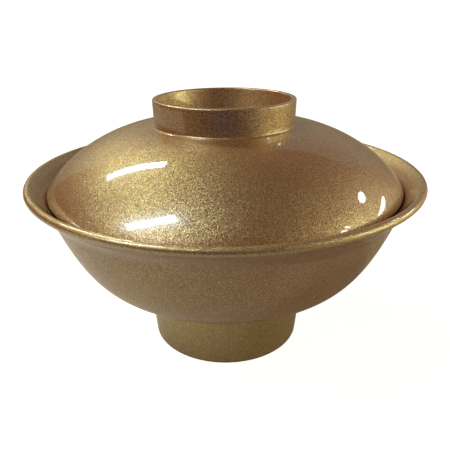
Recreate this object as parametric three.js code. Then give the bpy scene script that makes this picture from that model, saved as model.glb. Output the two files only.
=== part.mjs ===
// Lidded donburi bowl: a flared lacquer bowl on a tall foot ring, and a domed lid with a ring knob that drops
// inside the bowl's rim. Both pieces are turned forms, so each is one closed profile revolved about the axis.
// Millimetres, +Z up, origin at the centre of the foot's standing face.

import * as THREE from "three";

const { Vector2 } = THREE;
const { degToRad } = THREE.MathUtils;

// Bowl: rim and flare
const RIM_RADIUS = 82.5;
const RIM_HEIGHT = 78.5;
const LIP_ROUND = 1.6; // radius of the rolled lip
const LIP_SLOPE = degToRad(38); // of the flared wall where it enters the lip, above level
const FLARE_REACH = 9; // the rim beyond the shoulder, across
const FLARE_HEIGHT = 12.4; // the rim above the shoulder
const WALL = 2.5;

// Bowl: belly
const SHOULDER_SLOPE = degToRad(70.5); // of the wall where belly and flare meet
const BELLY_SLOPE = degToRad(20); // of the wall where it leaves the foot
const BELLY_LOW_PULL = 0.36; // fullness of the curve at the foot, as a share of its chord
const BELLY_HIGH_PULL = 0.635; // the same at the shoulder

// Bowl: foot ring
const FOOT_RADIUS = 33.5; // outside, at the standing face
const FOOT_HEIGHT = 26.8; // to where its wall meets the belly
const FOOT_DRAFT = degToRad(5.2); // the outside widens upwards
const FOOT_WALL = 3; // at the standing face
const RECESS_DRAFT = degToRad(1); // the recess narrows upwards
const FOOT_EDGE_ROUND = 0.7;
const FOOT_FILLET = 2.5;
const RECESS_FILLET = 3;

// Lid: seat and dome
const LID_SEAT_DROP = 5.5; // the lid's widest level below the rim
const LID_GAP = 0.3; // between the lid's edge and the bowl's wall
const LID_WALL = 2.4;
const DOME_HEIGHT = 24.3; // from the widest level to the knob's base
const DOME_EDGE_PULL = 0.185; // height of the upright stretch at the edge, as a share of the dome's height
const DOME_CROWN_PULL = 0.56; // width of the flat stretch at the crown, as a share of the dome's span
const CROWN_SLOPE = degToRad(2.4); // fall of the dome at the knob

// Lid: ring knob
const KNOB_RADIUS = 29.3; // outside, at its base
const KNOB_HEIGHT = 10.8;
const KNOB_DRAFT = degToRad(1.3); // the ring widens upwards
const KNOB_WALL = 2.1; // at its top
const CUP_DRAFT = degToRad(10); // the cup inside the ring widens upwards more than the ring
const KNOB_EDGE_ROUND = 0.65;
const KNOB_FILLET = 0.8;

// Facets
const TURN_STEPS = 64;
const BELLY_STEPS = 11;
const FLARE_STEPS = 5;
const LIP_STEPS = 7;
const DOME_STEPS = 11;
const EDGE_STEPS = 6;
const ROUND_STEPS = 3;
const BOTTOM_STEPS = 4;

const heading = (angle) => new Vector2(Math.cos(angle), Math.sin(angle));
const along = (point, direction, distance) => point.clone().addScaledVector(direction, distance);
const leftOf = (direction) => new Vector2(-direction.y, direction.x);

// Points of an arc about a centre, both ends included.
function arc(centre, radius, from, to, steps) {
  const point = (i) => along(centre, heading(THREE.MathUtils.lerp(from, to, i / steps)), radius);
  return Array.from({ length: steps + 1 }, (_, i) => point(i));
}

// The length of each leg that a round of this radius takes from a corner.
function legOfRound(legIn, legOut, radius) {
  return radius / Math.tan(legIn.angleTo(legOut) / 2);
}

// Points of the arc that rounds a corner, from the leg it comes in by to the leg it leaves by.
function roundCorner(corner, legIn, legOut, radius) {
  const leg = legOfRound(legIn, legOut, radius);
  const start = along(corner, legIn, leg);
  const end = along(corner, legOut, leg);
  const bisector = legIn.clone().add(legOut).normalize();
  const centre = along(corner, bisector, Math.hypot(leg, radius));
  const from = start.clone().sub(centre).angle();
  const turn = end.clone().sub(centre).angle() - from;
  const sweep = turn - 2 * Math.PI * Math.round(turn / (2 * Math.PI));
  return arc(centre, radius, from, from + sweep, ROUND_STEPS);
}

// Where two lines cross, each given by a point and a heading.
function crossing(pointA, headingA, pointB, headingB) {
  const apart = pointB.clone().sub(pointA);
  return along(pointA, headingA, apart.cross(headingB) / headingA.cross(headingB));
}

// Points of a curve moved to its left by a thickness that may vary along it.
function offsetCurve(curve, steps, thickness) {
  return Array.from({ length: steps + 1 }, (_, i) => {
    const t = i / steps;
    return along(curve.getPoint(t), leftOf(curve.getTangent(t)), thickness(t));
  });
}

// The radius of a rising line of points at a given height.
function radiusAt(points, height) {
  const i = points.findIndex((p, k) => k > 0 && p.y >= height);
  const [low, high] = [points[i - 1], points[i]];
  return THREE.MathUtils.mapLinear(height, low.y, high.y, low.x, high.x);
}

// Outside of the bowl's wall: the belly from the foot to the shoulder, then the flare up to the lip.
const footWallRise = new Vector2(Math.sin(FOOT_DRAFT), Math.cos(FOOT_DRAFT));
const footCorner = new Vector2(FOOT_RADIUS + FOOT_HEIGHT * Math.tan(FOOT_DRAFT), FOOT_HEIGHT);
const shoulder = new Vector2(RIM_RADIUS - FLARE_REACH, RIM_HEIGHT - FLARE_HEIGHT);
const bellyChord = shoulder.distanceTo(footCorner);
const bellyRise = heading(BELLY_SLOPE);
const shoulderRise = heading(SHOULDER_SLOPE);
const footFillet = roundCorner(footCorner, footWallRise.clone().negate(), bellyRise, FOOT_FILLET);
const belly = new THREE.CubicBezierCurve(
  footFillet.at(-1),
  along(footCorner, bellyRise, BELLY_LOW_PULL * bellyChord),
  along(shoulder, shoulderRise, -BELLY_HIGH_PULL * bellyChord),
  shoulder,
);
const lipCentre = new Vector2(RIM_RADIUS - LIP_ROUND, RIM_HEIGHT - LIP_ROUND);
const lipRise = heading(LIP_SLOPE);
const lipRoot = along(lipCentre, leftOf(lipRise), -LIP_ROUND);
const flareCorner = crossing(shoulder, shoulderRise, lipRoot, lipRise);
const flare = new THREE.QuadraticBezierCurve(shoulder, flareCorner, lipRoot);

// Inside of the wall: an even wall up to the shoulder, which thickens along the flare into the round lip.
const flareWall = (t) => THREE.MathUtils.lerp(WALL, 2 * LIP_ROUND, t ** 3);
const bellyInside = offsetCurve(belly, BELLY_STEPS, () => WALL);
const flareInside = offsetCurve(flare, FLARE_STEPS, flareWall);

// The well goes on from the belly as an arc about the axis, and the recess under it keeps the wall's thickness.
const wellEdge = bellyInside[0];
const wellRadius = wellEdge.x / Math.sin(BELLY_SLOPE);
const wellCentre = new Vector2(0, wellEdge.y + wellRadius * Math.cos(BELLY_SLOPE));
const straightDown = -Math.PI / 2;

function bowlProfile() {
  const recessRise = new Vector2(-Math.sin(RECESS_DRAFT), Math.cos(RECESS_DRAFT));
  const recessFoot = new Vector2(FOOT_RADIUS - FOOT_WALL, 0);
  const ceilingRadius = wellRadius + WALL;
  const ceilingAngle = Math.asin(recessFoot.x / ceilingRadius);
  const ceilingAt = (angle) => along(wellCentre, heading(straightDown + angle), ceilingRadius);
  const ceilingRise = heading(ceilingAngle);
  const recessCorner = crossing(recessFoot, recessRise, ceilingAt(ceilingAngle), ceilingRise);
  const recessDown = recessRise.clone().negate();
  const recessFillet = roundCorner(recessCorner, ceilingRise.clone().negate(), recessDown, RECESS_FILLET);
  const filletAngle = Math.asin(recessFillet[0].x / ceilingRadius);
  const ceiling = arc(wellCentre, ceilingRadius, straightDown, straightDown + filletAngle, BOTTOM_STEPS);
  const outward = heading(0);
  const inward = heading(Math.PI);
  const footOuter = new Vector2(FOOT_RADIUS, 0);
  return [
    ...ceiling.slice(0, -1),
    ...recessFillet,
    ...roundCorner(recessFoot, recessRise, outward, FOOT_EDGE_ROUND),
    ...roundCorner(footOuter, inward, footWallRise, FOOT_EDGE_ROUND),
    ...footFillet,
    ...belly.getPoints(BELLY_STEPS).slice(1),
    ...flare.getPoints(FLARE_STEPS).slice(1),
    ...arc(lipCentre, LIP_ROUND, LIP_SLOPE - Math.PI / 2, LIP_SLOPE + Math.PI / 2, LIP_STEPS).slice(1),
    ...flareInside.slice(0, -1).reverse(),
    ...bellyInside.slice(0, -1).reverse(),
    ...arc(wellCentre, wellRadius, straightDown + BELLY_SLOPE, straightDown, BOTTOM_STEPS).slice(1),
  ];
}

// The lid's edge is a full round that lies one gap inside the bowl's wall, at the seat's height.
function lidEdgeCentre() {
  const clearance = LID_GAP + LID_WALL / 2;
  const seatHeight = RIM_HEIGHT - LID_SEAT_DROP;
  const track = [
    ...offsetCurve(belly, BELLY_STEPS, () => WALL + clearance),
    ...offsetCurve(flare, FLARE_STEPS, (t) => flareWall(t) + clearance).slice(1),
  ];
  return new Vector2(radiusAt(track, seatHeight), seatHeight);
}

function lidProfile() {
  const edgeCentre = lidEdgeCentre();
  const edgeRound = LID_WALL / 2;
  const edge = new Vector2(edgeCentre.x + edgeRound, edgeCentre.y);
  const knobCorner = new Vector2(KNOB_RADIUS, edge.y + DOME_HEIGHT);
  const crownFall = heading(-CROWN_SLOPE);
  const knobRise = new Vector2(Math.sin(KNOB_DRAFT), Math.cos(KNOB_DRAFT));
  const knobDown = knobRise.clone().negate();
  const knobFillet = roundCorner(knobCorner, crownFall, knobRise, KNOB_FILLET);
  const dome = new THREE.CubicBezierCurve(
    edge,
    new Vector2(edge.x, edge.y + DOME_EDGE_PULL * DOME_HEIGHT),
    along(knobCorner, crownFall, DOME_CROWN_PULL * (edge.x - KNOB_RADIUS)),
    knobFillet[0],
  );

  // The crown inside the ring goes on from the dome as an arc about the axis.
  const crownRadius = knobFillet[0].x / Math.sin(CROWN_SLOPE);
  const crownCentre = new Vector2(0, knobFillet[0].y - crownRadius * Math.cos(CROWN_SLOPE));
  const straightUp = Math.PI / 2;
  const crownAngle = (x) => straightUp - Math.asin(x / crownRadius);

  const knobTop = along(knobCorner, knobRise, KNOB_HEIGHT / knobRise.y);
  const knobTopInner = new Vector2(knobTop.x - KNOB_WALL, knobTop.y);
  const cupRise = new Vector2(Math.sin(CUP_DRAFT), Math.cos(CUP_DRAFT));
  const cupDown = cupRise.clone().negate();
  const cupWallFoot = new Vector2(knobTopInner.x - KNOB_HEIGHT * Math.tan(CUP_DRAFT), knobCorner.y);
  const cupFloorRise = heading(crownAngle(cupWallFoot.x) + straightUp);
  const cupFloor = along(crownCentre, heading(crownAngle(cupWallFoot.x)), crownRadius);
  const cupCorner = crossing(knobTopInner, cupDown, cupFloor, cupFloorRise);
  const cupFillet = roundCorner(cupCorner, cupRise, cupFloorRise, KNOB_FILLET);
  const floor = arc(crownCentre, crownRadius, crownAngle(cupFillet.at(-1).x), straightUp, BOTTOM_STEPS);

  const underside = offsetCurve(dome, DOME_STEPS, () => LID_WALL);
  const undersideAngle = straightUp - CROWN_SLOPE;
  const crownUnder = arc(crownCentre, crownRadius - LID_WALL, straightUp, undersideAngle, BOTTOM_STEPS);
  return [
    ...crownUnder.slice(0, -1),
    ...underside.reverse(),
    ...arc(edgeCentre, edgeRound, -Math.PI, 0, EDGE_STEPS).slice(1),
    ...dome.getPoints(DOME_STEPS).slice(1),
    ...knobFillet.slice(1),
    ...roundCorner(knobTop, knobDown, heading(Math.PI), KNOB_EDGE_ROUND),
    ...roundCorner(knobTopInner, heading(0), cupDown, KNOB_EDGE_ROUND),
    ...cupFillet,
    ...floor.slice(1),
  ];
}

// Revolves a profile of radius and height about +Z. Its ends are put exactly on the axis.
function turned(name, profile, material) {
  profile[0].x = 0;
  profile.at(-1).x = 0;
  const mesh = new THREE.Mesh(new THREE.LatheGeometry(profile, TURN_STEPS), material);
  mesh.name = name;
  mesh.rotation.x = Math.PI / 2;
  return mesh;
}

const goldLacquer = () => new THREE.MeshStandardMaterial({ color: 0x9c7642, roughness: 0.25, metalness: 0.55 });

const donburi = new THREE.Group();
donburi.add(turned("bowl", bowlProfile(), goldLacquer()));
donburi.add(turned("lid", lidProfile(), goldLacquer()));

export default donburi;
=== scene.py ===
# %% [markdown]
# A lidded donburi bowl: a flared lacquer bowl on a tall foot ring, and a domed lid with a ring knob. The
# CAD model is the frame. It gives the two bodies, their sizes and the straight lift of the lid, and nothing
# in this file moves or resizes it. Blender's part is the looks: smooth skins in place of the faceted
# solids, the gold flake lacquer, and a small studio.

# %% Load the frame
import math

import bpy
from mathutils import Matrix, Vector


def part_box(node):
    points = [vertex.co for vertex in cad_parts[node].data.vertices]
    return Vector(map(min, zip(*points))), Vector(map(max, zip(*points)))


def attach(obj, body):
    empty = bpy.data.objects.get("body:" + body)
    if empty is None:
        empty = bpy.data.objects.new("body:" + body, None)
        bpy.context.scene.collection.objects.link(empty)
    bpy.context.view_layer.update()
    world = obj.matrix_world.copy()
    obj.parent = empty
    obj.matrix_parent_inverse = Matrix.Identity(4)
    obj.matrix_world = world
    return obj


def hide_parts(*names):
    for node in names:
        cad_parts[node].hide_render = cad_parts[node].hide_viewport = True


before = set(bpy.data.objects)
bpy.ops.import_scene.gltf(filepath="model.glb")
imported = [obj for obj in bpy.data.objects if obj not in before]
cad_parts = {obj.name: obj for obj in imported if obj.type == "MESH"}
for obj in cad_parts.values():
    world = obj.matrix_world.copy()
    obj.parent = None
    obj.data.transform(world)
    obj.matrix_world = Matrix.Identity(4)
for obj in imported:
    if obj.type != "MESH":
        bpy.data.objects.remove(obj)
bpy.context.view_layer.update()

MM = 0.001

bowl_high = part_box("bowl")[1]
lid_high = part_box("lid")[1]
rim_radius = bowl_high.x
rim_height = bowl_high.z
print(f"rim {2 * rim_radius / MM:.1f} mm across at {rim_height / MM:.1f} mm")
print(f"top of the lid at {lid_high.z / MM:.1f} mm")

# %% [markdown]
# Both pieces are turned forms, as if they came off a lathe: every level cut is a circle. Such a piece could
# be sculpted from a sphere or built from stacked cylinders, but its character is all in one line, the
# half-section from the axis out to the rim and back. So that line is drawn first, and the Spin tool turns
# it into a solid. The next cell holds the drawing tools: a straight stretch, an arc, a Bezier curve and a
# rounded corner, each giving points about a millimetre apart. A point is a radius and a height.

# %% Drawing tools: straight stretches and arcs
ROW = 1.0 * MM
ROUND_ROWS = 8


def heading(degrees):
    """The direction that rises at this angle above level, going outwards."""
    return Vector((math.cos(math.radians(degrees)), math.sin(math.radians(degrees))))


def left_of(direction):
    return Vector((-direction.y, direction.x))


def rows_along(length):
    return max(ROUND_ROWS, round(length / ROW))


def straight(start, end):
    steps = rows_along((end - start).length)
    return [start.lerp(end, i / steps) for i in range(steps + 1)]


def arc(centre, radius, start, end):
    """Points of an arc about a centre, between two angles in degrees."""
    steps = rows_along(radius * abs(math.radians(end - start)))
    return [centre + heading(start + (end - start) * i / steps) * radius for i in range(steps + 1)]


print(f"points {ROW / MM:.0f} mm apart, at least {ROUND_ROWS} steps in a stretch")

# %% Drawing tools: curves and corners


def bezier(handles):
    """Points of a Bezier curve, each with its share of the way and the curve's direction there."""
    steps = rows_along((handles[-1] - handles[0]).length)
    points = []
    for i in range(steps + 1):
        share = i / steps
        legs = handles
        while len(legs) > 2:
            legs = [a.lerp(b, share) for a, b in zip(legs, legs[1:])]
        points.append((legs[0].lerp(legs[1], share), share, (legs[1] - legs[0]).normalized()))
    return points


def beside(curve, distance):
    """The curve moved to its left by a distance that may change along it."""
    return [point + left_of(direction) * distance(share) for point, share, direction in curve]


def on_curve(curve):
    return [point for point, share, direction in curve]


def crossing(point, direction, other, other_direction):
    """Where two lines cross, each given by a point and a direction."""
    apart = other - point
    return point + direction * (apart.cross(other_direction) / direction.cross(other_direction))


def round_corner(corner, leg_in, leg_out, radius):
    """The arc that rounds a corner, from the leg it comes in by to the leg it leaves by."""
    half = leg_in.angle(leg_out) / 2
    centre = corner + (leg_in + leg_out).normalized() * (radius / math.sin(half))
    start = corner + leg_in * (radius / math.tan(half)) - centre
    end = corner + leg_out * (radius / math.tan(half)) - centre
    start_angle = math.degrees(math.atan2(start.y, start.x))
    turn = math.degrees(math.atan2(start.cross(end), start.dot(end)))
    return arc(centre, radius, start_angle, start_angle + turn)


print("tools for curves and corners ready")

# %% [markdown]
# The bowl's wall is an ogee: a full belly rises from the foot, straightens at the shoulder and then flares
# outwards into a rolled lip. On the bench this would be one sweep of the turner's tool. Here the belly is
# one Bezier curve and the flare another that leaves the shoulder in the same direction, so no crease shows
# where they meet. The inside is the same line moved inwards by the wall's thickness, which grows along the
# flare until it is as thick as the lip is round.

# %% The bowl's wall, outside and inside
LIP_ROUND = 1.6 * MM
LIP_SLOPE = 38
FLARE_REACH = 9 * MM
FLARE_HEIGHT = 12.4 * MM
WALL = 2.5 * MM
SHOULDER_SLOPE = 70.5
BELLY_SLOPE = 20
BELLY_LOW_PULL = 0.36
BELLY_HIGH_PULL = 0.635
FOOT_RADIUS = 33.5 * MM
FOOT_HEIGHT = 26.8 * MM
FOOT_DRAFT = 5.2
FOOT_FILLET = 2.5 * MM

foot_rise = heading(90 - FOOT_DRAFT)
foot_corner = Vector((FOOT_RADIUS + FOOT_HEIGHT * math.tan(math.radians(FOOT_DRAFT)), FOOT_HEIGHT))
shoulder = Vector((rim_radius - FLARE_REACH, rim_height - FLARE_HEIGHT))
chord = (shoulder - foot_corner).length
foot_fillet = round_corner(foot_corner, -foot_rise, heading(BELLY_SLOPE), FOOT_FILLET)
belly = bezier([
    foot_fillet[-1],
    foot_corner + heading(BELLY_SLOPE) * (BELLY_LOW_PULL * chord),
    shoulder - heading(SHOULDER_SLOPE) * (BELLY_HIGH_PULL * chord),
    shoulder,
])

lip_centre = Vector((rim_radius - LIP_ROUND, rim_height - LIP_ROUND))
lip_root = lip_centre - left_of(heading(LIP_SLOPE)) * LIP_ROUND
flare_corner = crossing(shoulder, heading(SHOULDER_SLOPE), lip_root, heading(LIP_SLOPE))
flare = bezier([shoulder, flare_corner, lip_root])


def flare_wall(share):
    """The wall's thickness along the flare, from the belly's to the lip's."""
    return WALL + (2 * LIP_ROUND - WALL) * share ** 3


belly_inside = beside(belly, lambda share: WALL)
flare_inside = beside(flare, flare_wall)
print(f"wall drawn with {len(belly) + len(flare)} points, {chord / MM:.1f} mm from foot to shoulder")

# %% [markdown]
# The foot is a hollow ring. Its recess is what the fingertips reach under, and its ceiling runs along under
# the bowl's well at the wall's thickness. The two edges of the standing face are rounded, as a lacquerer
# rounds them so that the coat does not chip.

# %% The bowl's half-section
FOOT_WALL = 3 * MM
FOOT_EDGE_ROUND = 0.7 * MM
RECESS_DRAFT = 1
RECESS_FILLET = 3 * MM

well_edge = belly_inside[0]
well_radius = well_edge.x / math.sin(math.radians(BELLY_SLOPE))
well_centre = Vector((0, well_edge.y + well_radius * math.cos(math.radians(BELLY_SLOPE))))


def bowl_half_section():
    recess_rise = heading(90 + RECESS_DRAFT)
    recess_foot = Vector((FOOT_RADIUS - FOOT_WALL, 0))
    ceiling_radius = well_radius + WALL
    ceiling_slope = math.degrees(math.asin(recess_foot.x / ceiling_radius))
    ceiling_end = well_centre + heading(ceiling_slope - 90) * ceiling_radius
    recess_corner = crossing(recess_foot, recess_rise, ceiling_end, heading(ceiling_slope))
    recess_fillet = round_corner(recess_corner, -heading(ceiling_slope), -recess_rise, RECESS_FILLET)
    fillet_slope = math.degrees(math.asin(recess_fillet[0].x / ceiling_radius))
    inner_edge = round_corner(recess_foot, recess_rise, heading(0), FOOT_EDGE_ROUND)
    outer_edge = round_corner(Vector((FOOT_RADIUS, 0)), heading(180), foot_rise, FOOT_EDGE_ROUND)
    return [
        *arc(well_centre, ceiling_radius, -90, fillet_slope - 90),
        *recess_fillet,
        *straight(recess_fillet[-1], inner_edge[0]),
        *inner_edge,
        *outer_edge,
        *straight(outer_edge[-1], foot_fillet[0]),
        *foot_fillet,
        *on_curve(belly),
        *on_curve(flare),
        *arc(lip_centre, LIP_ROUND, LIP_SLOPE - 90, LIP_SLOPE + 90),
        *reversed(flare_inside),
        *reversed(belly_inside),
        *arc(well_centre, well_radius, BELLY_SLOPE - 90, -90),
    ]


print(f"bowl half-section: {len(bowl_half_section())} points")

# %% [markdown]
# The lid drops inside the rim and rests with its round edge on the flare, so the edge's place comes from
# the bowl's own wall: the middle of the edge lies on that wall moved in by half the lid's thickness and a
# hair's gap. From there the dome stands almost upright for a moment, then leans over into a broad flat
# crown. The ring knob stands nearly straight outside, while the cup inside it opens upwards.

# %% The lid's half-section
LID_SEAT_DROP = 5.5 * MM
LID_GAP = 0.3 * MM
LID_WALL = 2.4 * MM
DOME_HEIGHT = 24.3 * MM
DOME_EDGE_PULL = 0.185
DOME_CROWN_PULL = 0.56
CROWN_SLOPE = 2.4
KNOB_RADIUS = 29.3 * MM
KNOB_DRAFT = 1.3
KNOB_WALL = 2.1 * MM
CUP_DRAFT = 10
KNOB_EDGE_ROUND = 0.65 * MM
KNOB_FILLET = 0.8 * MM


def radius_at(track, height):
    """The radius of a rising line of points at a height."""
    for low, high in zip(track, track[1:]):
        if low.y <= height <= high.y:
            return low.lerp(high, (height - low.y) / (high.y - low.y)).x


seat_height = rim_height - LID_SEAT_DROP
seat_track = beside(flare, lambda share: flare_wall(share) + LID_GAP + LID_WALL / 2)
edge_centre = Vector((radius_at(seat_track, seat_height), seat_height))


def lid_half_section():
    edge = edge_centre + heading(0) * (LID_WALL / 2)
    knob_corner = Vector((KNOB_RADIUS, edge.y + DOME_HEIGHT))
    knob_rise = heading(90 - KNOB_DRAFT)
    crown_fall = heading(-CROWN_SLOPE)
    knob_fillet = round_corner(knob_corner, crown_fall, knob_rise, KNOB_FILLET)
    dome = bezier([
        edge,
        edge + heading(90) * (DOME_EDGE_PULL * DOME_HEIGHT),
        knob_corner + crown_fall * (DOME_CROWN_PULL * (edge.x - KNOB_RADIUS)),
        knob_fillet[0],
    ])
    crown_radius = knob_fillet[0].x / math.sin(math.radians(CROWN_SLOPE))
    crown_centre = Vector((0, knob_fillet[0].y - crown_radius * math.cos(math.radians(CROWN_SLOPE))))

    knob_top = crossing(knob_corner, knob_rise, Vector((0, lid_high.z)), heading(0))
    top_inner = knob_top - heading(0) * KNOB_WALL
    cup_rise = heading(90 - CUP_DRAFT)
    cup_foot = crossing(top_inner, cup_rise, knob_corner, heading(0))
    floor_slope = -math.degrees(math.asin(cup_foot.x / crown_radius))
    floor_end = crown_centre + heading(90 + floor_slope) * crown_radius
    cup_corner = crossing(top_inner, cup_rise, floor_end, heading(floor_slope))
    cup_fillet = round_corner(cup_corner, cup_rise, -heading(floor_slope), KNOB_FILLET)
    cup_slope = math.degrees(math.asin(cup_fillet[-1].x / crown_radius))
    outer_edge = round_corner(knob_top, -knob_rise, heading(180), KNOB_EDGE_ROUND)
    inner_edge = round_corner(top_inner, heading(0), -cup_rise, KNOB_EDGE_ROUND)
    return [
        *arc(crown_centre, crown_radius - LID_WALL, 90, 90 - CROWN_SLOPE),
        *reversed(beside(dome, lambda share: LID_WALL)),
        *arc(edge_centre, LID_WALL / 2, -180, 0),
        *on_curve(dome),
        *knob_fillet,
        *straight(knob_fillet[-1], outer_edge[0]),
        *outer_edge,
        *inner_edge,
        *straight(inner_edge[-1], cup_fillet[0]),
        *cup_fillet,
        *arc(crown_centre, crown_radius, 90 - cup_slope, 90),
    ]


edge_radius = edge_centre.x + LID_WALL / 2
print(f"lid half-section: {len(lid_half_section())} points, edge radius {edge_radius / MM:.2f} mm")

# %% [markdown]
# Now the lines become solids. A single vertex is extruded from point to point along the half-section, and
# Spin carries that line round the axis in one full turn. The first and last copies meet, and so do all the
# copies of the two ends on the axis, so doubles are merged, which closes the seam and the poles. Only then
# are the normals made to point outwards.

# %% Spin a half-section into a solid
TURN_STEPS = 192
DOUBLE = 0.005 * MM


def drawn_line(name, points, along=(1, 0, 0)):
    """A line of edges through points of a distance along a level axis and a height, left in edit mode."""
    level = Vector(along)
    up = Vector((0, 0, 1))
    bpy.ops.object.select_all(action="DESELECT")
    bpy.ops.mesh.primitive_plane_add(size=MM)
    line = bpy.context.object
    line.name = name
    bpy.ops.object.mode_set(mode="EDIT")
    bpy.ops.mesh.merge(type="CENTER")
    bpy.ops.transform.translate(value=level * points[0].x + up * points[0].y)
    for here, there in zip(points, points[1:]):
        step = there - here
        if step.length > DOUBLE:
            move = {"value": level * step.x + up * step.y}
            bpy.ops.mesh.extrude_region_move(TRANSFORM_OT_translate=move)
    return line


def turned_piece(name, points):
    """A closed solid of revolution about Z from a half-section that starts and ends on the axis."""
    points[0].x = 0
    points[-1].x = 0
    piece = drawn_line(name, points)
    bpy.ops.mesh.select_all(action="SELECT")
    bpy.ops.mesh.spin(steps=TURN_STEPS, angle=math.tau, center=(0, 0, 0), axis=(0, 0, 1))
    bpy.ops.mesh.select_all(action="SELECT")
    bpy.ops.mesh.remove_doubles(threshold=DOUBLE)
    bpy.ops.mesh.normals_make_consistent(inside=False)
    bpy.ops.object.mode_set(mode="OBJECT")
    bpy.ops.object.shade_smooth()
    print(f"{name}: {len(piece.data.polygons)} faces")
    return piece


bowl_skin = turned_piece("bowl_skin", bowl_half_section())
lid_skin = turned_piece("lid_skin", lid_half_section())

# %% [markdown]
# The finish, the paper and the room are all node trees, and a tree is made of the same few moves: add a
# node, choose what it does, and connect its inputs. These helpers do one move each and give back the socket
# that carries the result, so that a formula of three nodes reads as three lines. An input takes either
# another node's socket or a plain value.

# %% Helpers for node trees


def feed(tree, socket, source):
    """Gives an input its source: a link from another socket, or a plain value."""
    if isinstance(source, bpy.types.NodeSocket):
        tree.links.new(source, socket)
    else:
        socket.default_value = source


def math_node(tree, operation, *sources):
    node = tree.nodes.new("ShaderNodeMath")
    node.operation = operation
    for socket, source in zip(node.inputs, sources):
        feed(tree, socket, source)
    return node.outputs["Value"]


def vector_node(tree, operation, *sources):
    node = tree.nodes.new("ShaderNodeVectorMath")
    node.operation = operation
    for socket, source in zip(node.inputs, sources):
        feed(tree, socket, source)
    return node.outputs["Value" if operation in ("DOT_PRODUCT", "LENGTH") else "Vector"]


def range_node(tree, value, start, end, low, high):
    """A value that runs from start to end, mapped to run from low to high."""
    node = tree.nodes.new("ShaderNodeMapRange")
    names = ("Value", "From Min", "From Max", "To Min", "To Max")
    for name, source in zip(names, (value, start, end, low, high)):
        feed(tree, node.inputs[name], source)
    return node.outputs["Result"]


def mix_node(tree, kind, factor, first, second):
    node = tree.nodes.new("ShaderNodeMix")
    node.data_type = kind
    for name, source in zip(("Factor", "A", "B"), (factor, first, second)):
        feed(tree, node.inputs[name], source)
    return node.outputs["Result"]


print("five helpers for node trees")

# %% [markdown]
# Gold flake lacquer is many small flakes of gold, each lying at its own slight tilt, in an amber lacquer
# over a brown-red ground, with a clear coat polished smooth on top. The flakes are cells of a Voronoi
# texture. Each cell has one random colour, and its channels serve as random numbers: the red one gives the
# flake's tone and with it how smooth the flake is, the pale ones being the smoother, and the green one says
# whether the ground shows there instead. Slow clouds of noise shift that a little, so that the flakes do
# not lie equally dense. A second random colour, drawn from the cell's place, tilts its face. A bump map
# could not do this, because a flake's face is flat and its neighbour's is turned another way, and it is
# this that makes the finish glitter.

# %% Clouds and tilt of the flakes
CLOUDS_PER_METRE = 90
CLOUD_DETAIL = 3
CLOUD_SHARE = 0.06


def flake_clouds(group, place):
    """Slow noise about zero, which makes the flakes lie denser here and thinner there."""
    clouds = group.nodes.new("ShaderNodeTexNoise")
    clouds.normalize = False
    feed(group, clouds.inputs["Vector"], place)
    feed(group, clouds.inputs["Scale"], CLOUDS_PER_METRE)
    feed(group, clouds.inputs["Detail"], CLOUD_DETAIL)
    return clouds.outputs["Fac"]


def flake_facing(group, cell_place, tilt):
    """The way each flake faces: the surface's normal, pushed to one side at random."""
    lie = group.nodes.new("ShaderNodeTexWhiteNoise")
    feed(group, lie.inputs["Vector"], cell_place)
    centred = vector_node(group, "SUBTRACT", lie.outputs["Color"], (0.5, 0.5, 0.5))
    lean = vector_node(group, "MULTIPLY", centred, tilt)
    normal = group.nodes.new("ShaderNodeNewGeometry").outputs["Normal"]
    return vector_node(group, "NORMALIZE", vector_node(group, "ADD", normal, lean))


print(f"clouds about {1 / CLOUDS_PER_METRE / MM:.0f} mm across")

# %% The flakes as a node group
FLAKE_INPUTS = {
    "Flake Scale": "NodeSocketFloat",
    "Tilt": "NodeSocketFloat",
    "Bare Share": "NodeSocketFloat",
    "Gold Dark": "NodeSocketColor",
    "Gold Light": "NodeSocketColor",
    "Ground": "NodeSocketColor",
}
FLAKE_OUTPUTS = {
    "Color": "NodeSocketColor",
    "Metal": "NodeSocketFloat",
    "Roughness": "NodeSocketFloat",
    "Normal": "NodeSocketVector",
}
BARE_EDGE = 0.1
DARK_FLAKE_ROUGHNESS = 0.50
PALE_FLAKE_ROUGHNESS = 0.43


def flake_group():
    """Colour, metal, roughness and normal of a layer of flakes, for any piece."""
    group = bpy.data.node_groups.new("Gold flakes", "ShaderNodeTree")
    for name, kind in FLAKE_INPUTS.items():
        group.interface.new_socket(name, in_out="INPUT", socket_type=kind)
    for name, kind in FLAKE_OUTPUTS.items():
        group.interface.new_socket(name, in_out="OUTPUT", socket_type=kind)
    given = group.nodes.new("NodeGroupInput").outputs
    results = group.nodes.new("NodeGroupOutput").inputs
    place = group.nodes.new("ShaderNodeTexCoord").outputs["Object"]

    cells = group.nodes.new("ShaderNodeTexVoronoi")
    feed(group, cells.inputs["Vector"], place)
    feed(group, cells.inputs["Scale"], given["Flake Scale"])
    chance = group.nodes.new("ShaderNodeSeparateColor")
    feed(group, chance.inputs["Color"], cells.outputs["Color"])
    tone = chance.outputs["Red"]

    clouds = flake_clouds(group, place)
    density = math_node(group, "MULTIPLY_ADD", clouds, CLOUD_SHARE, chance.outputs["Green"])
    bare_end = math_node(group, "ADD", given["Bare Share"], BARE_EDGE)
    covered = range_node(group, density, given["Bare Share"], bare_end, 0, 1)
    gold = mix_node(group, "RGBA", tone, given["Gold Dark"], given["Gold Light"])

    feed(group, results["Color"], mix_node(group, "RGBA", covered, given["Ground"], gold))
    feed(group, results["Metal"], covered)
    roughness = range_node(group, tone, 0, 1, DARK_FLAKE_ROUGHNESS, PALE_FLAKE_ROUGHNESS)
    feed(group, results["Roughness"], roughness)
    feed(group, results["Normal"], flake_facing(group, cells.outputs["Position"], given["Tilt"]))
    return group


gold_flakes = flake_group()
print(f"flake group: {len(gold_flakes.nodes)} nodes")

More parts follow.
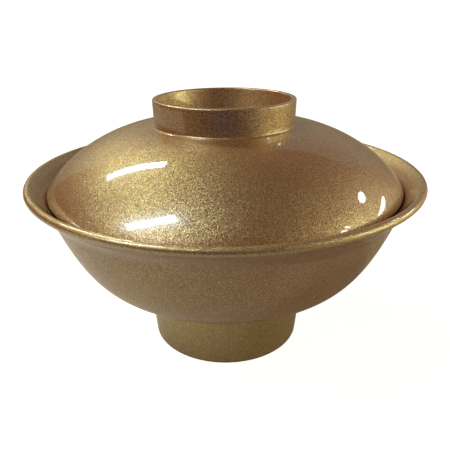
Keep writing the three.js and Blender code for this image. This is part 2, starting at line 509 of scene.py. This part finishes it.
# %% [markdown]
# The lacquer itself is one Principled shader for each piece. The flakes drive its colour, metal, roughness
# and normal. The clear coat is a second layer of the same shader, which keeps the smooth normal of the
# surface, so the lamps show in it with clean edges over the glitter. Mixing a glossy shader in by hand
# would do the same with more nodes.

# %% Gold lacquer
COAT_ROUGHNESS = 0.045
COAT_IOR = 1.75
GOLD_DARK = (0.24, 0.125, 0.042, 1)
GOLD_LIGHT = (0.92, 0.81, 0.385, 1)
GROUND_RED = (0.32, 0.07, 0.022, 1)


def gold_lacquer(name, flake, tilt, bare=0):
    """The whole finish: flakes of this size in metres under a clear coat, and the share of bare ground."""
    material = bpy.data.materials.new(name)
    material.use_nodes = True
    tree = material.node_tree
    shader = tree.nodes["Principled BSDF"]
    shader.inputs["Coat Weight"].default_value = 1
    shader.inputs["Coat Roughness"].default_value = COAT_ROUGHNESS
    shader.inputs["Coat IOR"].default_value = COAT_IOR
    flakes = tree.nodes.new("ShaderNodeGroup")
    flakes.name = "flakes"
    flakes.node_tree = gold_flakes
    flakes.inputs["Flake Scale"].default_value = 1 / flake
    flakes.inputs["Tilt"].default_value = tilt
    flakes.inputs["Bare Share"].default_value = bare
    flakes.inputs["Gold Dark"].default_value = GOLD_DARK
    flakes.inputs["Gold Light"].default_value = GOLD_LIGHT
    flakes.inputs["Ground"].default_value = GROUND_RED
    feed(tree, shader.inputs["Base Color"], flakes.outputs["Color"])
    feed(tree, shader.inputs["Metallic"], flakes.outputs["Metal"])
    feed(tree, shader.inputs["Roughness"], flakes.outputs["Roughness"])
    feed(tree, shader.inputs["Normal"], flakes.outputs["Normal"])
    return material


lid_gold = gold_lacquer("lid gold lacquer", flake=0.17 * MM, tilt=0.34, bare=0.30)
bowl_gold = gold_lacquer("bowl gold lacquer", flake=0.13 * MM, tilt=0.45)
lid_skin.data.materials.append(lid_gold)
bowl_skin.data.materials.append(bowl_gold)
print("materials:", lid_gold.name, "and", bowl_gold.name)

# %% [markdown]
# The bowl's light and shade are painted into its gold by height. The brown ground shows through more on
# the belly and the flare as painted shade, little on the foot so that it reads lighter, and little again on
# the roll of the lip, as a painted highlight. On the edge that the bowl is set down on, full bare ground is
# a painted contact shadow. A colour ramp on the height gives the share of bare ground, as a grey.

# %% Painted light and shade by height
# Shares of bare ground by height: painted shadow on the standing edge, painted light on the foot and the
# lip, painted shade on the belly and the flare.
PAINTED_SHADING_STOPS = (
    (0.5 * MM, 1.0),
    (1.0 * MM, 0.04),
    (FOOT_HEIGHT - 2 * MM, 0.04),
    (FOOT_HEIGHT + 4 * MM, 0.44),
    (rim_height - 13 * MM, 0.44),
    (rim_height - 9 * MM, 0.58),
    (rim_height - 3.5 * MM, 0.58),
    (rim_height - 2 * MM, 0.18),
)

bowl_tree = bowl_gold.node_tree
bowl_place = bowl_tree.nodes.new("ShaderNodeSeparateXYZ")
feed(bowl_tree, bowl_place.inputs["Vector"], bowl_tree.nodes.new("ShaderNodeTexCoord").outputs["Object"])
share_of_height = math_node(bowl_tree, "DIVIDE", bowl_place.outputs["Z"], rim_height)
painted_shading_map = bowl_tree.nodes.new("ShaderNodeValToRGB")
feed(bowl_tree, painted_shading_map.inputs["Fac"], share_of_height)
stops = painted_shading_map.color_ramp.elements
stops.remove(stops[1])
for i, (level, bare) in enumerate(PAINTED_SHADING_STOPS):
    stop = stops.new(level / rim_height) if i else stops[0]
    stop.position = level / rim_height
    stop.color = (bare, bare, bare, 1)
# The painted light and shade go into the flakes as their share of bare ground.
feed(bowl_tree, bowl_tree.nodes["flakes"].inputs["Bare Share"], painted_shading_map.outputs["Color"])
print(f"bare ground: {len(stops)} stops from the foot to the lip")

# %% [markdown]
# A skin is still a loose mesh until it is told what it belongs to. It rides on its body, so that the lid's
# skin goes up with the lid. It replaces the CAD solid, which is hidden here and stays in use for
# collisions.

# %% Put the skins on their bodies
for piece, body in ((bowl_skin, "bowl"), (lid_skin, "lid")):
    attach(piece, body)
    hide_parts(body)
    print(f"{piece.name} rides on {body}")

# %% [markdown]
# The bowl stands on one sheet of pale paper that curves up behind it. Two planes would do, but their seam
# shows as a line, so a single profile is drawn, a floor, a quarter circle and a wall, and the whole line is
# extruded sideways into a sheet.

# %% The paper sweep
PAPER_HALF_WIDTH = 0.6
PAPER_FRONT = -0.2
PAPER_BACK = 0.6
PAPER_TOP = 0.62
COVE_ROUND = 0.1

cove = Vector((PAPER_BACK - COVE_ROUND, COVE_ROUND))
paper_line = [Vector((PAPER_FRONT, 0)), *arc(cove, COVE_ROUND, -90, 0), Vector((PAPER_BACK, PAPER_TOP))]
paper = drawn_line("paper", paper_line, along=(0, 1, 0))
bpy.ops.mesh.select_all(action="SELECT")
bpy.ops.transform.translate(value=(-PAPER_HALF_WIDTH, 0, 0))
bpy.ops.mesh.extrude_region_move(TRANSFORM_OT_translate={"value": (2 * PAPER_HALF_WIDTH, 0, 0)})
bpy.ops.object.mode_set(mode="OBJECT")
bpy.ops.object.shade_smooth()
print(f"paper: {len(paper.data.polygons)} strips, {2 * PAPER_HALF_WIDTH:.1f} m wide")

# %% [markdown]
# A plain shot of a shiny bowl has a white surround, yet the bowl itself mirrors a dim room: white paper all
# round would wash out its gold. So the paper is an ordinary matt surface that takes the lamps' light and
# the bowl's shadow, and what it adds by its own glow depends on who looks: much for the camera and for
# glass, a little for what the coat mirrors. That little is placed too: on the floor it is most at the left,
# near the bowl, and fades away from it, so that no edge of the sheet stands out in the knob, and the wall
# behind has one even share.

# %% Paper that looks white
PAPER_COLOUR = (0.52, 0.45, 0.32, 1)
PAPER_ROUGHNESS = 0.9
PAPER_SPECULAR = 0.1
PAPER_TO_CAMERA = 0.92
FLOOR_TO_MIRROR = (0.32, 0.035)
FLOOR_FADE = (-0.25, 0.02)
FLOOR_NEAR = (0.3, 0.55)
WALL_TO_MIRROR = 0.13
WALL_FADE = (0.05, 0.3)


def glow_seen(tree, to_camera, to_mirror=0):
    """How strongly a surface glows to the camera and through glass, and how strongly in a mirror."""
    path = tree.nodes.new("ShaderNodeLightPath").outputs
    direct = math_node(tree, "MAXIMUM", path["Is Camera Ray"], path["Is Transmission Ray"])
    seen = math_node(tree, "MULTIPLY", direct, to_camera)
    return math_node(tree, "MULTIPLY_ADD", path["Is Glossy Ray"], to_mirror, seen)


def mirrored_paper(tree):
    """What the paper adds in a mirror: on the floor most at the left, and an even share up the wall."""
    spot = tree.nodes.new("ShaderNodeTexCoord").outputs["Object"]
    place = tree.nodes.new("ShaderNodeSeparateXYZ")
    feed(tree, place.inputs["Vector"], spot)
    across = range_node(tree, place.outputs["X"], *FLOOR_FADE, *FLOOR_TO_MIRROR)
    near = range_node(tree, vector_node(tree, "LENGTH", spot), *FLOOR_NEAR, 1, 0)
    floor = math_node(tree, "MULTIPLY", across, near)
    wall = range_node(tree, place.outputs["Z"], *WALL_FADE, 0, 1)
    return mix_node(tree, "FLOAT", wall, floor, WALL_TO_MIRROR)


paper_look = bpy.data.materials.new("pale paper")
paper_look.use_nodes = True
paper_look.cycles.emission_sampling = "NONE"
paper_tree = paper_look.node_tree
paper_shader = paper_tree.nodes["Principled BSDF"]
paper_shader.inputs["Base Color"].default_value = PAPER_COLOUR
paper_shader.inputs["Roughness"].default_value = PAPER_ROUGHNESS
paper_shader.inputs["Specular IOR Level"].default_value = PAPER_SPECULAR
paper_shader.inputs["Emission Color"].default_value = (1, 1, 1, 1)
paper_glow = glow_seen(paper_tree, PAPER_TO_CAMERA, mirrored_paper(paper_tree))
feed(paper_tree, paper_shader.inputs["Emission Strength"], paper_glow)
paper.data.materials.append(paper_look)
print(f"paper glows {PAPER_TO_CAMERA} to the camera, {WALL_TO_MIRROR} off the wall to the coat")

# %% [markdown]
# The room round the studio is the world. It is dim and warm, as a wooden room is, with a bright window low
# at the right and a cool haze round the strip lamps in the ceiling. A panorama of a room could be used, but
# a few soft glows are enough, because the flakes blur what they mirror. Each glow is strongest in one
# direction and fades away from it, as a power of the cosine of the angle between them. A high power makes a
# small glow with soft edges, which the coat mirrors without a hard outline. To the camera the world is
# plain white, so that it continues the paper.

# %% The dim room
# Each glow has an azimuth and an elevation in degrees, a power and a colour.
ROOM_GLOWS = {
    "back wall": (0, 0, 2, (0.34, 0.15, 0.10)),
    "left wall": (-90, 0, 2, (0.13, 0.01, 0.0)),
    "right wall": (95, 8, 4, (0.79, 0.61, 0.48)),
    "front": (180, -12, 8, (0.03, 0.05, 0.12)),
    "window": (94, 10, 30, (3.0, 2.8, 1.2)),
    "front left": (-128, 40, 28, (2.3, 1.9, 1.6)),
    "front tubes, low end": (-106, 45, 150, (3.0, 4.4, 5.4)),
    "front tubes, middle": (-110, 53, 150, (3.0, 4.4, 5.4)),
    "front tubes, high end": (-118, 62, 150, (3.0, 4.4, 5.4)),
    "back tube, low end": (-47, 40, 150, (0.6, 1.2, 1.0)),
    "back tube, high end": (-36, 48, 150, (0.6, 1.2, 1.0)),
}


def way_to(azimuth, elevation):
    """The direction at an azimuth, counted from the back towards the right, and an elevation in degrees."""
    around = math.radians(azimuth)
    up = math.radians(elevation)
    return Vector((math.sin(around) * math.cos(up), math.cos(around) * math.cos(up), math.sin(up)))


world = bpy.data.worlds.new("dim room")
world.use_nodes = True
bpy.context.scene.world = world
room = world.node_tree
ray = room.nodes.new("ShaderNodeTexCoord").outputs["Generated"]
room_light = (0, 0, 0)
for name, (azimuth, elevation, power, colour) in ROOM_GLOWS.items():
    cosine = vector_node(room, "DOT_PRODUCT", ray, way_to(azimuth, elevation))
    fade = math_node(room, "POWER", math_node(room, "MAXIMUM", cosine, 0), power)
    room_light = vector_node(room, "MULTIPLY_ADD", fade, colour, room_light)
    print(f"{name}: azimuth {azimuth}, elevation {elevation}, {colour}")
surround = mix_node(room, "RGBA", glow_seen(room, 1), room_light, (1, 1, 1, 1))
feed(room, room.nodes["Background"].inputs["Color"], surround)

# %% [markdown]
# The lamps are soft area lights. Each shows in the coat as a highlight with a sharp edge and in the flakes
# as a broad glow round it, and both tell where a lamp is: the highlight's place on the dome gives its
# direction, and its length and width give its size. Two strip lamps hang in the ceiling at the left, the
# front one with two tubes, and four small panes at the right make the small highlights there. A lamp's
# level is its brightness as seen, so its power grows with its area.

# %% Lamps in the ceiling
CEILING = 1.85


def area_lamp(name, shape, place, aim, width, height, level, colour=(1, 1, 1)):
    bpy.ops.object.light_add(type="AREA", location=place)
    lamp = bpy.context.object
    lamp.name = name
    lamp.rotation_euler = aim
    lamp.data.shape = shape
    lamp.data.size = width
    lamp.data.size_y = height
    lamp.data.energy = level * math.pi * width * height
    lamp.data.color = colour
    print(f"{name}: {width:.2f} by {height:.2f} m, {lamp.data.energy:.1f} W")


def tube_lamp(name, left, right, width, level, colour=(1, 1, 1)):
    """A strip lamp that faces down from the ceiling, between two ends that are given by X and Y."""
    run = Vector(right) - Vector(left)
    middle = (Vector(right) + Vector(left)) / 2
    aim = (0, 0, math.atan2(run.y, run.x))
    area_lamp(name, "RECTANGLE", (*middle, CEILING), aim, run.length, width, level, colour)


tube_lamp("tube back left", (-1.84, 1.48), (-0.69, 1.20), 0.22, 29, (1, 0.96, 0.77))
tube_lamp("first tube front left", (-1.93, -0.49), (-0.70, -0.40), 0.09, 17)
tube_lamp("second tube front left", (-2.03, -0.67), (-0.71, -0.49), 0.11, 17)

# %% Lamps at the side
LAMP_DISTANCE = 2.0
DOME_CENTRE = Vector((0, 0, 0.085))


def pane_lamp(name, azimuth, elevation, width, height, level, turn=0):
    """An oval lamp that faces the dome from a direction, turned about its own axis by some degrees."""
    outwards = way_to(azimuth, elevation)
    aim = outwards.to_track_quat("Z", "Y").to_matrix() @ Matrix.Rotation(math.radians(turn), 3, "Z")
    place = DOME_CENTRE + outwards * LAMP_DISTANCE
    area_lamp(name, "ELLIPSE", place, aim.to_euler(), width, height, level)


pane_lamp("round pane", 67.1, 30.4, 0.28, 0.15, 8.0)
pane_lamp("long pane", 68.0, 15.0, 0.64, 0.15, 5.2, turn=10)
pane_lamp("small pane", 99.6, 25.8, 0.11, 0.17, 7.5)
pane_lamp("low small pane", 105.1, 21.2, 0.21, 0.14, 7.5, turn=15)

# %% [markdown]
# The camera stands close, about 22 cm from the middle of the bowl, and looks down on it. That is why the
# near lip dips so deep in the picture, and why the dome hides the far half of the rim. The focal length is
# counted in pixels of a square picture, and the sensor's width turns it into millimetres.

# %% Camera
CAMERA_BACK = 207.03 * MM
CAMERA_HEIGHT = 138.69 * MM
CAMERA_SIDE = -0.158 * MM
CAMERA_DOWN = 22.98
CAMERA_ROLL = -0.483
FOCAL_PIXELS = 493.25
IMAGE_PIXELS = 450
SENSOR = 36
NEAREST_SEEN = 10 * MM

bpy.ops.object.camera_add(location=(CAMERA_SIDE, -CAMERA_BACK, CAMERA_HEIGHT))
camera = bpy.context.object
camera.data.sensor_width = SENSOR
camera.data.lens = FOCAL_PIXELS / IMAGE_PIXELS * SENSOR
camera.data.clip_start = NEAREST_SEEN
pitch = Matrix.Rotation(math.radians(90 - CAMERA_DOWN), 3, "X")
roll = Matrix.Rotation(math.radians(CAMERA_ROLL), 3, "Z")
camera.rotation_euler = (pitch @ roll).to_euler()
bpy.context.scene.camera = camera
bpy.context.scene.view_settings.view_transform = "Standard"
print(f"camera: {camera.data.lens:.1f} mm lens, {CAMERA_DOWN} degrees down")
